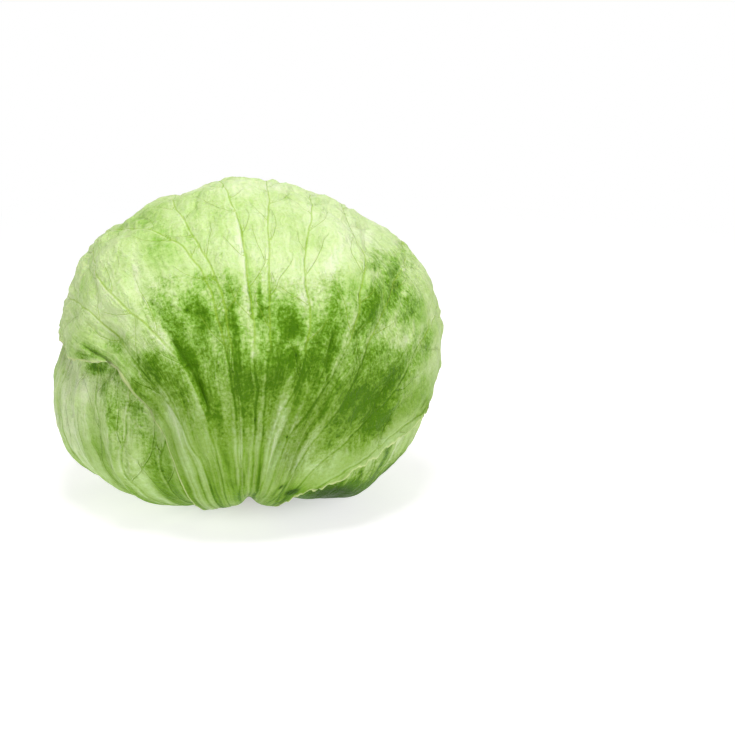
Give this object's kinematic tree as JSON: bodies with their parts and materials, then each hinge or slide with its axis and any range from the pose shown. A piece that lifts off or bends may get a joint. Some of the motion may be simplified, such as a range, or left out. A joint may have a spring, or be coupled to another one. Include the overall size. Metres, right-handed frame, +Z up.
{
  "type": "iceberg lettuce",
  "caption": "Whole head of crisp lettuce standing on its cut stem, with a dense heart inside cup leaves and loose waved wrapper leaves.",
  "frame": {"origin": "centre of the stem's cut face, on the surface that the head stands on", "axes": "+Z up through the crown; -Y is the side with the broad front leaf"},
  "size_m": [0.1731, 0.1716, 0.1398],
  "materials": {
    "outer_leaf": "waxy green leaf with pale veins",
    "inner_leaf": "waxy pale green leaf",
    "heart_leaf": "crisp yellow-green leaf",
    "stem": "moist cut stem, browned at its rim"
  },
  "bodies": {
    "root": {"stem": "stem", "heart": "heart_leaf", "cup_leaf_1": "inner_leaf", "cup_leaf_2": "inner_leaf", "cup_leaf_3": "inner_leaf", "cup_leaf_4": "inner_leaf", "wrapper_leaf_right": "outer_leaf", "wrapper_leaf_back": "outer_leaf", "wrapper_leaf_left": "outer_leaf", "wrapper_leaf_front_right": "outer_leaf", "wrapper_leaf_front_left": "outer_leaf", "wrapper_leaf_front": "outer_leaf"}
  },
  "joints": []
}
